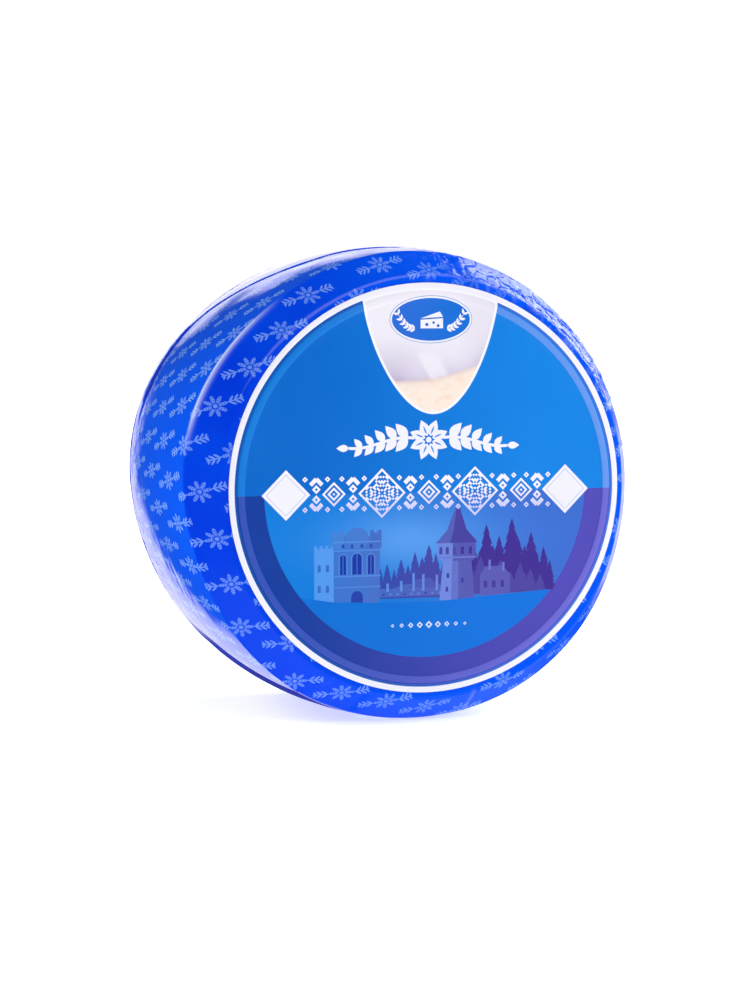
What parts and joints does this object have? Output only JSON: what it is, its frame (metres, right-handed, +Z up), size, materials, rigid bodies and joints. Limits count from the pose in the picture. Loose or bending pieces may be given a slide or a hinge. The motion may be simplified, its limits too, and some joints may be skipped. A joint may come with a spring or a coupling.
{
  "type": "cheese wheel",
  "caption": "Whole pressed cheese wheel in glossy printed blue shrink film with a large round label on its face, standing on its edge.",
  "frame": {"origin": "on the floor under the middle of the wheel, which stands on its flattened edge", "axes": "+Z up; -Y out of the labelled face, along the wheel's axis; +X to the right when facing the label"},
  "size_m": [0.2796, 0.16, 0.2795],
  "materials": {
    "cheese": "firm pale yellow cheese with a closed, faintly cloth-marked rind",
    "shrink_film": "glossy blue printed shrink film, drawn tight, lightly creased",
    "label": "coated printed label with a satin gloss"
  },
  "bodies": {
    "root": {"cheese_body": "cheese", "film_front_panel": "shrink_film", "film_back_panel": "shrink_film", "face_label": "label"}
  },
  "joints": []
}
